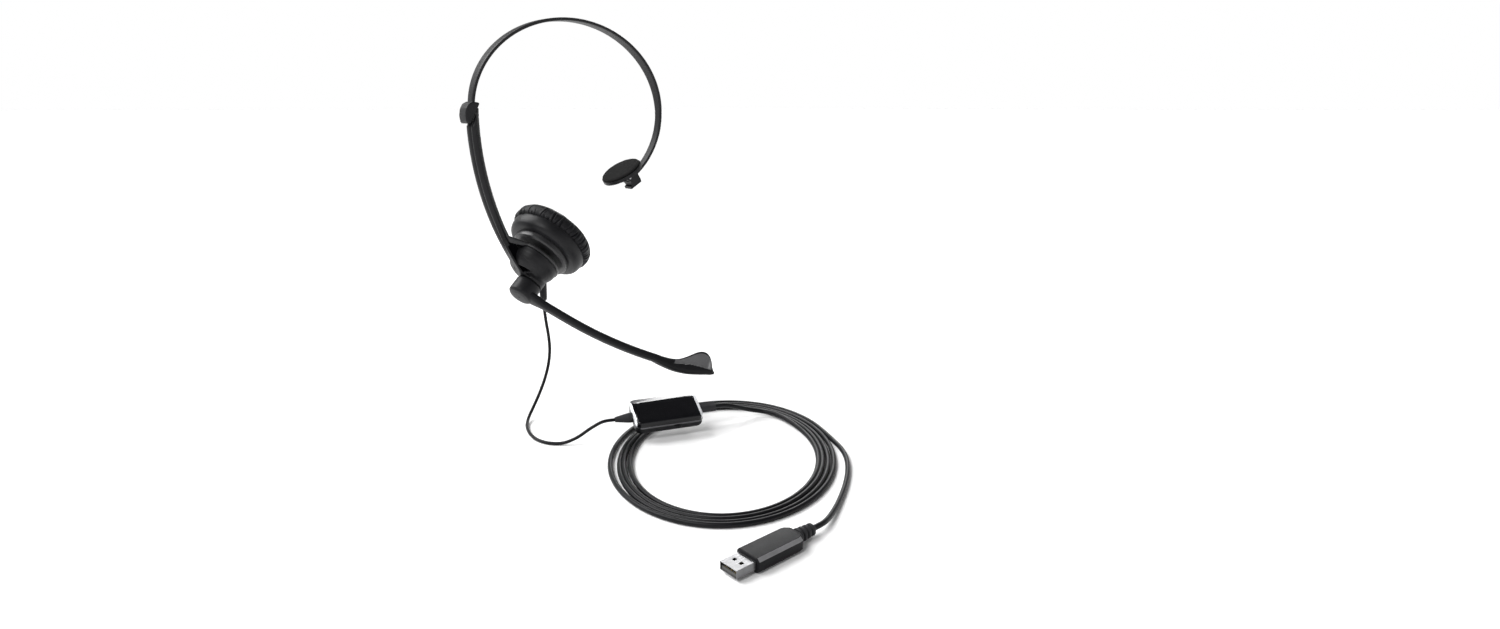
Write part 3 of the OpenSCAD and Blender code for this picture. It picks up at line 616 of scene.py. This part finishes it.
SHELL_PROFILE = [(8.1, 6.4), (21.2, 6.4), (24.6, 7.0), (26.4, 8.4), (27.3, 10.6), (27.7, 13.2),
                 (27.6, 15.2), (26.7, 15.2), (26.4, 14.0), (26.0, 12.1), (25.0, 10.2), (23.6, 8.9),
                 (20.7, 8.3), (8.1, 8.3)]
CUSHION_PROFILE = [(11.2, 15.6), (25.6, 15.5), (26.8, 15.6), (28.4, 16.2), (29.3, 18.3), (29.1, 21.6),
                   (27.5, 24.6), (24.2, 26.0), (19.5, 26.3), (15.0, 26.0), (12.2, 24.2), (11.1, 21.0),
                   (11.0, 18.0)]
WELT_R, WELT_Z, WELT_HALF = 27.1, 15.5, 0.45
finished(lathe("cup_shell_skin", rounded(SHELL_PROFILE, 0.9, 6), HUB, 160), shell_mat,
         "ear_cup", ["cup_shell"], angle=70)


def cushion_folds():
    """The wrinkles: each one's angle, width, depth, slant and reach over the rim."""
    rng = random.Random(11)
    folds = []
    angle = 0.0
    while angle < 2 * math.pi - 0.08:
        folds.append((angle, rng.uniform(0.014, 0.026), rng.uniform(0.45, 1.25),
                      rng.uniform(-0.12, 0.12), rng.uniform(0.35, 1.0)))
        angle += rng.uniform(0.07, 0.17)
    return folds


def fold_depth(folds, a, along):
    """How deep the wrinkles are at an angle, some share of the way over the rim."""
    depth = 0.0
    for at, width, strength, slant, reach in folds:
        d = (a - at - slant * along + math.pi) % (2 * math.pi) - math.pi
        if abs(d) < 4 * width:
            fade = 1 - smoothstep(reach * 0.55, reach, along)
            crease = math.exp(-(d / width) ** 2) - 0.45 * math.exp(-(d / (2.2 * width)) ** 2)
            depth += strength * fade * crease
    return depth


def cushion(name):
    """The ear cushion: a crowned ring of leatherette, gathered into radial wrinkles at its outer seam."""
    folds = cushion_folds()
    path = catmull([(*p, 0) for p in CUSHION_PROFILE + CUSHION_PROFILE[:1]], 7)[:-1]
    count, rings = 720, []
    middle = Vector((20.0, 20.6, 0))
    for i in range(count):
        a = 2 * math.pi * i / count
        c, s = math.cos(a), math.sin(a)
        ring = []
        for k, p in enumerate(path):
            share = k / len(path)
            rim = smoothstep(0.13, 0.2, share) * (1 - smoothstep(0.46, 0.6, share))
            depth = fold_depth(folds, a, (share - 0.16) / 0.36)
            swell = 0.28 * noise.noise(Vector((5 * c, 5 * s, share * 6)))
            inward = (middle - p).normalized()
            q = p + inward * (1.35 * depth * rim - swell * (0.4 + 0.6 * rim) * smoothstep(0.1, 0.2, share))
            ring.append((q.x * c, q.x * s, q.y))
        rings.append(ring)
    return loft(name, rings, HUB, closed=True)


ear_cushion = finished(cushion("ear_cushion_skin"), leather_mat, "ear_cup",
                       ["ear_cushion"], angle=70)
welt = [(WELT_R + w, WELT_Z + v) for w, v in superellipse(WELT_HALF, WELT_HALF, 2, 12)]
finished(lathe("ear_cushion_welt", welt, HUB, 160), leather_mat, "ear_cup", angle=80)


# ---- Boom microphone ----

def boom_path(t):
    """A point, its tangent and its inward normal in the boom's frame, t in millimetres along it."""
    if t <= BOOM_STRAIGHT:
        return Vector((t, 0, BOOM_S)), Vector((1, 0, 0)), Vector((0, 0, 1))
    a = (t - BOOM_STRAIGHT) / BOOM_R
    at = Vector((BOOM_STRAIGHT + BOOM_R * math.sin(a), 0, BOOM_S + BOOM_R * (1 - math.cos(a))))
    return at, Vector((math.cos(a), 0, math.sin(a))), Vector((-math.sin(a), 0, math.cos(a)))


MIC_AT = BOOM_STRAIGHT + BOOM_R * math.radians(MIC_TURN)
rings = []
for i in range(80):
    t = lerp(3.0, MIC_AT + 2, i / 79)
    at, along, up = boom_path(t)
    flare = 1 - smoothstep(6, 19, t)
    half_w = lerp(3.8, 3.15, t / MIC_AT) + 2.8 * flare
    half_h = 2.7 + 0.3 * flare
    rings.append([at + Vector((0, w, 0)) + up * h for w, h in superellipse(half_w, half_h, 3.0, 28)])
finished(loft("boom_tube", rings, BOOM), boom_mat, "boom", ["boom_arm"])

RING_OUTLINE = [(1.6, -25.9), (6.0, -25.9), (6.0, -28.4), (9.0, -28.4), (9.0, -17.2), (6.05, -17.2),
                (6.05, -24.7), (1.6, -24.7)]
finished(lathe("boom_pivot_ring", rounded(RING_OUTLINE, 1.9, 5), BOOM, 128), boom_mat,
         "boom", ["boom_ring"], angle=50)

# The pod's lower and upper edge and the top of its keel, as heights along it.
MIC_L = 44.2
MIC_LOW = [(0, -2.7), (7, -4.0), (15, -4.9), (22.5, -4.5), (28, -3.5), (34, -1.8), (39.8, 0.2),
           (MIC_L, 1.6)]
MIC_HIGH = [(0, 2.6), (6.5, 2.4), (12.5, 2.9), (17, 4.2), (21, 6.8), (25, 10.3), (28.8, 13.6),
            (32.4, 15.4), (35.6, 15.3), (38.4, 13.2), (40.4, 9.6), (41.6, 6.2), (42.8, 4.2), (MIC_L, 3.4)]
KEEL_LINE = [(0, -1.8), (12, -1.2), (19.5, 0.1), (26, 1.7), (33, 2.3), (39, 2.5), (MIC_L, 2.5)]
MIC_HALF_T = 3.4
DISH_DEPTH = 1.3


def curve_height(points, x):
    """The height of a smooth line through the points."""
    smooth = catmull([(*p, 0) for p in points], 12)
    for a, b in zip(smooth, smooth[1:]):
        if a.x <= x <= b.x:
            return lerp(a.y, b.y, (x - a.x) / max(b.x - a.x, 1e-6))
    return smooth[-1].y if x > smooth[-1].x else smooth[0].y


def mic_ring(x):
    """The pod's cross-section at x, thick at its keel, with a dished face on the side of the mouth."""
    low, high = curve_height(MIC_LOW, x), curve_height(MIC_HIGH, x)
    middle, half = (low + high) / 2, (high - low) / 2
    keel = (curve_height(KEEL_LINE, x) - middle) / half
    end = math.sqrt(max(1 - smoothstep(39.5, MIC_L, x) ** 2, 0.02))
    dish = DISH_DEPTH * smoothstep(10, 19, x) * (1 - smoothstep(38, 41, x))
    out = []
    for v, w in superellipse(1.0, 1.0, 3.2, 96):
        y = middle + v * half
        z = w * MIC_HALF_T * end * lerp(1.0, 0.86, smoothstep(3, 13, y))
        if w < 0:
            inside = smoothstep(keel, keel + 0.22, v) * (1 - smoothstep(0.74, 0.97, v))
            z += dish * inside * min(-w * 1.4, 1)
        out.append((x, z, y))
    return out


MIC = BOOM @ Matrix.Translation(boom_path(MIC_AT)[0] * MM) @ turn(-MIC_TURN, "Y")
mic_rings = [mic_ring(lerp(0, MIC_L, (i / 139) ** 0.9)) for i in range(140)]
pod = finished(loft("mic_pod", mic_rings, MIC), boom_mat, "boom",
               ["mic_upper_shell", "mic_lower_shell", "mic_screen"], angle=35)
pod.data.materials.append(mic_face_painted_reflection_mat)
# The dished face on the mouth's side takes the grey: painted reflection.
for face in pod.data.polygons:
    at = (MIC.inverted() @ face.center) / MM
    low, high = curve_height(MIC_LOW, at.x), curve_height(MIC_HIGH, at.x)
    over_keel = curve_height(KEEL_LINE, at.x) + 0.3 < at.z < high - 0.1 * (high - low)
    if at.y < -0.5 and 15 < at.x < 41.4 and over_keel:
        face.material_index = 1


# ---- Control box ----

BOX_L, BOX_W = 46.0, 25.0
BOX_CORNER = 4.6
BOX_TOP = 5.74
SLOPE_FROM, SLOPE = 6.4, 0.34    # the top falls away towards its far edge
TOP_LEVELS = [(1.35, 0.15), (1.45, 0.02), (2.4, 0.0), (3.7, 0.0), (4.3, 0.15), (4.8, 0.45), (5.2, 0.95),
              (5.48, 1.6), (5.64, 2.4), (5.72, 3.4)]
TOP_LEVELS += [(BOX_TOP, inset) for inset in (5.0, 7.0, 9.0, 11.0)]
BOTTOM_LEVELS = [(-5.72, 2.6), (-5.6, 2.0), (-5.2, 1.3), (-4.4, 0.6), (-3.4, 0.12), (-2.4, 0.0),
                 (-0.25, 0.02), (-0.15, 0.15)]
TRIM_LEVELS = [(-0.15, 0.25), (-0.1, 0.06), (0.1, 0.0), (1.1, 0.0), (1.3, 0.06), (1.35, 0.25)]
TRIM_PROUD = 0.18


def tray(name, levels, corner, material, replaces, extra=0.0):
    """A rounded box from levels of (height, inset)."""
    rings = []
    for z, inset in levels:
        l, w = BOX_L / 2 + extra - inset, BOX_W / 2 + extra - inset
        outline = rounded([(-l, -w), (l, -w), (l, w), (-l, w)], max(corner - inset * 0.5, 1.0), 10)
        rings.append([(p.x, p.y, z) for p in outline])
    return finished(loft(name, rings, BOX), material, "arm", replaces, angle=40)


box_top = tray("box_top_skin", TOP_LEVELS, BOX_CORNER, gloss_mat, ["box_top_cover"])
into_box = BOX.inverted()
for v in box_top.data.vertices:
    at = (into_box @ v.co) / MM
    if at.z > 1.5:
        at.z = min(at.z, BOX_TOP - SLOPE * max(at.y - SLOPE_FROM, 0))
    v.co = BOX @ (at * MM)
box_top.data.materials.append(trim_end_painted_highlight_mat)
box_top.data.materials.append(slope_painted_reflection_mat)
for face in box_top.data.polygons:
    at = (into_box @ face.center) / MM
    # The top's ends take the pale trim colour: painted highlight.
    if (at.x > 20.6 or at.x < -22.2) and abs(at.y) < 11.6:
        face.material_index = 1
    # The far slope takes the greyer gloss: painted reflection.
    elif at.y > SLOPE_FROM + 0.2 and at.z > 2.6:
        face.material_index = 2
tray("box_bottom_skin", BOTTOM_LEVELS, BOX_CORNER, matte_mat, ["box_bottom_cover"])
# The side band is the dark copy of the silver trim: painted shade.
tray("box_trim_band", TRIM_LEVELS, BOX_CORNER + 0.1, trim_side_painted_shade_mat, ["box_trim"],
     TRIM_PROUD)


# ---- Plug ----

PLUG_W, PLUG_H, PLUG_CHAMFER = 8.0, 3.93, 1.5
# The moulded body's sections: how far along, half width, half height and chamfer.
PLUG_SECTIONS = [(12.05, 7.2, 3.2, 1.2), (12.25, 7.7, 3.7, 1.35)]
PLUG_SECTIONS += [(x, PLUG_W, PLUG_H, PLUG_CHAMFER) for x in (12.7, 14, 26, 40.4)]
PLUG_SECTIONS += [(42.2, 7.5, 3.9, 1.5), (44.2, 5.7, 3.85, 1.5), (44.8, 5.0, 3.6, 1.4), (45, 4.4, 3.2, 1.3)]
RIB_FROM, RIB_PITCH, RIB_HALF = 46.2, 3.05, 0.75


def plug_section(x, half_w, half_h, chamfer):
    """A chamfered rectangle across the plug, at x along it."""
    w, h = half_w - chamfer, half_h - chamfer
    outline = rounded([(-w, -half_h), (w, -half_h), (half_w, -h), (half_w, h),
                       (w, half_h), (-w, half_h), (-half_w, h), (-half_w, -h)], 0.35, 3)
    return [(x, p.x, p.y) for p in outline]


plug_rings = [plug_section(*section) for section in PLUG_SECTIONS]
plug_body = finished(loft("plug_body", plug_rings, PLUG), plug_mat, "arm",
                     ["plug_overmould"], angle=25)
plug_body.data.materials.append(plug_chamfer_highlight_mat)
# Chamfers facing up and to a side take the grey: painted highlight where light falls.
for face in plug_body.data.polygons:
    if abs(face.normal.y) > 0.35 and face.normal.z > 0.35 and abs(face.normal.x) < 0.3:
        face.material_index = 1

ribs = [(0.02, 44.6), (3.3, 44.6)]
for i in range(4):
    r, x = 4.0 - 0.2 * i, RIB_FROM + RIB_PITCH * i
    ribs += [(2.0, x - RIB_HALF), (r, x - RIB_HALF), (r, x + RIB_HALF), (2.0, x + RIB_HALF)]
ribs += [(2.2, 57.0), (1.9, 57.9), (0.02, 57.95)]
finished(lathe("plug_relief_ribs", rounded(ribs, 0.3, 3), PLUG @ turn(90, "Y"), 64), relief_mat,
         "arm", ["plug_strain_relief"], angle=50)


# ---- Cords ----

finished(headset_cord, cord_mat, "arm", ["headset_cord"])
finished(lead, cord_mat, "arm", ["usb_lead_start", "usb_lead_coil", "usb_lead_tail"])


# ---- Floor, light and world ----

FLOOR_HALF = 60000
floor = mesh_object("floor", [(-FLOOR_HALF, -FLOOR_HALF, 0), (FLOOR_HALF, -FLOOR_HALF, 0),
                              (FLOOR_HALF, FLOOR_HALF, 0), (-FLOOR_HALF, FLOOR_HALF, 0)],
                    [(0, 1, 2, 3)], Matrix.Translation((0, 0, FLOOR_Z - 0.0001)))
floor_mat, floor_tree, floor_shader = new_material("floor paper", (0.97, 0.97, 0.97), 0.9, specular=0.0)
tooth = texture(floor_tree, "ShaderNodeTexNoise", 900, Detail=3.0)
floor_tree.links.new(bumped(floor_tree, tooth.outputs["Fac"], 0.1, 0.00005), floor_shader.inputs["Normal"])
floor.data.materials.append(floor_mat)


def area_light(name, at, towards, size, power):
    data = bpy.data.lights.new(name, "AREA")
    data.shape, data.size, data.energy = "DISK", size, power
    obj = bpy.data.objects.new(name, data)
    obj.location = at
    obj.rotation_euler = (Vector(towards) - Vector(at)).to_track_quat("-Z", "Y").to_euler()
    scene.collection.objects.link(obj)


LIT_AT = (0, -0.05, -0.1)
area_light("key", (-0.85, -0.35, 0.75), LIT_AT, 0.5, 6.5)
area_light("rim", (0.75, 0.6, 0.42), LIT_AT, 0.5, 5)

sun_data = bpy.data.lights.new("skylight", "SUN")
sun_data.energy, sun_data.angle = 3.4, math.radians(45)
sun = bpy.data.objects.new("skylight", sun_data)
sun.rotation_euler = (math.radians(-34), math.radians(-28), 0)
scene.collection.objects.link(sun)

# The sky is white at the horizon and falls to grey overhead, which keeps black plastic black.
world = bpy.data.worlds.new("studio")
scene.world = world
world.use_nodes = True
sky = world.node_tree
back = sky.nodes["Background"]
back.inputs["Color"].default_value = (1, 1, 1, 1)
where = sky.nodes.new("ShaderNodeTexCoord")
split = sky.nodes.new("ShaderNodeSeparateXYZ")
sky.links.new(where.outputs["Generated"], split.inputs["Vector"])
shade = sky.nodes.new("ShaderNodeMapRange")
sky.links.new(split.outputs["Z"], shade.inputs["Value"])
for key, value in (("From Min", 0.12), ("From Max", 0.55), ("To Min", 1.0), ("To Max", 0.16)):
    shade.inputs[key].default_value = value
sky.links.new(shade.outputs["Result"], back.inputs["Strength"])
scene.view_settings.view_transform = "Standard"
